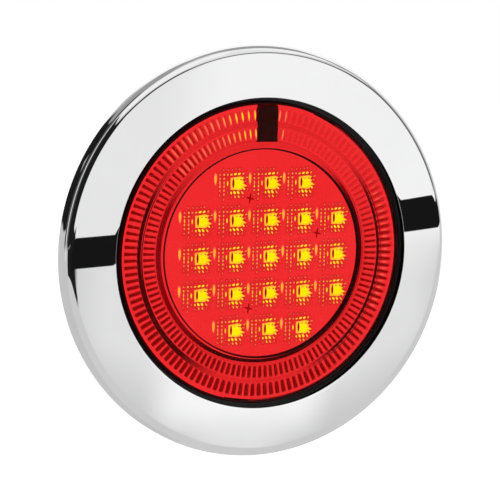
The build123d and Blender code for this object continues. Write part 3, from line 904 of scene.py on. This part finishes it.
def place_camera():
    """The camera, turned about the lamp by its azimuth and elevation, and rolled a little."""
    azimuth = math.radians(CAMERA_AZIMUTH)
    elevation = math.radians(CAMERA_ELEVATION)
    roll = math.radians(CAMERA_ROLL)
    back = Vector((
        math.sin(azimuth) * math.cos(elevation),
        -math.cos(azimuth) * math.cos(elevation),
        math.sin(elevation),
    ))
    level = Vector((math.cos(azimuth), math.sin(azimuth), 0))
    above = back.cross(level)
    right = math.cos(roll) * level + math.sin(roll) * above
    up = math.cos(roll) * above - math.sin(roll) * level
    data = bpy.data.cameras.new("camera")
    data.lens = CAMERA_LENS
    data.sensor_width = 36
    camera = bpy.data.objects.new("camera", data)
    turn = Matrix((right, up, back)).transposed()
    camera.matrix_world = Matrix.Translation(CAMERA_TARGET + back * CAMERA_DISTANCE) @ turn.to_4x4()
    bpy.context.scene.collection.objects.link(camera)
    bpy.context.scene.camera = camera


# Soft-edged panels of the studio, in degrees: low and high azimuth, low and high elevation, the
# elevation's rise per degree of azimuth, softness and brightness. Later ones cover earlier ones.
PANELS = (
    # sides, overhead and behind
    (-181, 181, 18, 80, 0, 10, 0.34),
    (-181, 181, 80, 95, 0, 8, 0.68),
    (-78, 84, 42, 86, 0, 5, 0.93),
    (98, 178, -12, 50, 0, 8, 0.97),
    (82, 100, -12, 30, 0, 6, 0.6),
    (84, 98, 34, 64, 0, 8, 0.2),
    # in front, low and level
    (-181, -60, -90, 20, 0, 20, 0.57),
    (-50, 85, -2, 40, 0, 6, 0.80),
    (4, 27, -16.0, 60, -0.62, 6, 0.80),
    (19, 42.5, -29.2, 60, 0.57, 6, 0.80),
    (13, 31, -24.0, -15, 0, 5, 0.98),
    (-30, 62, -6, 26, 0, 2, 0.84),
    (16, 62, -6, 26, 0, 9, 0.95),
    # the big flag on the left, with a slot of light in it
    (-174, -88, -1.5, 20, 0.07, 1.5, 0.012),
    (-170, -116, 10, 25, 0.42, 1.5, 0.012),
    (-120, -60, 20, 46, 0.08, 3, 0.012),
    (-112, -88, 44, 64, 0, 4, 0.06),
    (-96, -54, -3, 47, 0, 4, 0.1),
    (-79, -72, -8, 50, 0, 1.5, 0.85),
    (-62, -28, 20, 50, -0.5, 2, 0.012),
    (-58, -13, -4, 36, 0, 2, 0.012),
    (-54, 1.8, -12.6, -4, 0, 0.8, 0.012),
    (-30, 3.2, -4.3, 2.2, -0.229, 0.6, 0.012),
    # the long dark batten across the front
    (-16, 80, -10.0, -6.93, 0.083, 0.08, 0.008),
    (50, 80, -4.4, -1.5, 0.2, 0.08, 0.008),
    # the edge of the overhead softbox
    (-14, 12, 26, 37, 0, 3, 0.04),
    (8, 52, 26, 36, 0, 4, 0.2),
    (48, 66, 24, 34, 0, 3, 0.07),
    (57, 80, 2, 32, 0, 5, 0.14),
)
SURROUND = 0.63
FLOOR_DROP = 35.0
FLOOR_HALF = 3000.0


def inside(world, value, low, high, soft):
    """1 between two limits and 0 beyond them, with soft edges."""
    above = soft_edge(world, value, low - soft / 2, low + soft / 2)
    beyond = soft_edge(world, value, high - soft / 2, high + soft / 2)
    return math_node(world, "MULTIPLY", above, math_node(world, "SUBTRACT", 1.0, beyond))


def blend(world, factor, value, rest):
    """A number that goes from the rest to the value as the factor goes from 0 to 1."""
    remainder = math_node(world, "MULTIPLY", math_node(world, "SUBTRACT", 1.0, factor), rest)
    return math_node(world, "MULTIPLY_ADD", factor, float(value), remainder)


def studio_world():
    """The studio that the plating mirrors: pale all round, with flags and soft boxes."""
    world = bpy.data.worlds.new("studio")
    bpy.context.scene.world = world
    world.use_nodes = True
    background = world.node_tree.nodes["Background"]
    place = node(world, "ShaderNodeTexCoord")
    split = node(world, "ShaderNodeSeparateXYZ")
    link(world, place.outputs["Generated"], split.inputs[0])
    x, y, z = split.outputs
    forward = math_node(world, "MULTIPLY", y, -1.0)
    azimuth = math_node(world, "DEGREES", math_node(world, "ARCTAN2", x, forward))
    elevation = math_node(world, "DEGREES", math_node(world, "ARCSINE", z))
    tone = SURROUND
    for low_az, high_az, low_el, high_el, slope, soft, value in PANELS:
        along = math_node(world, "SUBTRACT", azimuth, float(low_az))
        height = math_node(world, "SUBTRACT", elevation, math_node(world, "MULTIPLY", along, float(slope)))
        across = inside(world, azimuth, low_az, high_az, soft)
        up = inside(world, height, low_el, high_el, soft)
        tone = blend(world, math_node(world, "MULTIPLY", across, up), value, tone)
    path = node(world, "ShaderNodeLightPath")
    seen = path.outputs["Is Camera Ray"]
    link(world, blend(world, seen, 1.0, tone), background.inputs["Color"])


def studio_floor():
    """The pale floor, seen by the camera but not mirrored in the plating."""
    floor_z = cad_bounds[0][2] / MM - FLOOR_DROP
    corners = [(-1, -1), (1, -1), (1, 1), (-1, 1)]
    verts = [(x * FLOOR_HALF, y * FLOOR_HALF, floor_z) for x, y in corners]
    floor = new_piece("studio_floor", verts, [(0, 1, 2, 3)])
    material, shader = new_material("studio_paper", (0.98, 0.98, 0.98), 0.9)
    shader.inputs["Specular IOR Level"].default_value = 0.0
    tone = mottled(material, 3, (0.975, 0.975, 0.975), (0.985, 0.985, 0.985))
    link(material, tone, shader.inputs["Base Color"])
    link(material, tone, shader.inputs["Emission Color"])
    shader.inputs["Emission Strength"].default_value = 0.6
    dress(floor, material)
    floor.visible_glossy = False


place_camera()
studio_world()
studio_floor()
bpy.context.scene.view_settings.view_transform = "Standard"
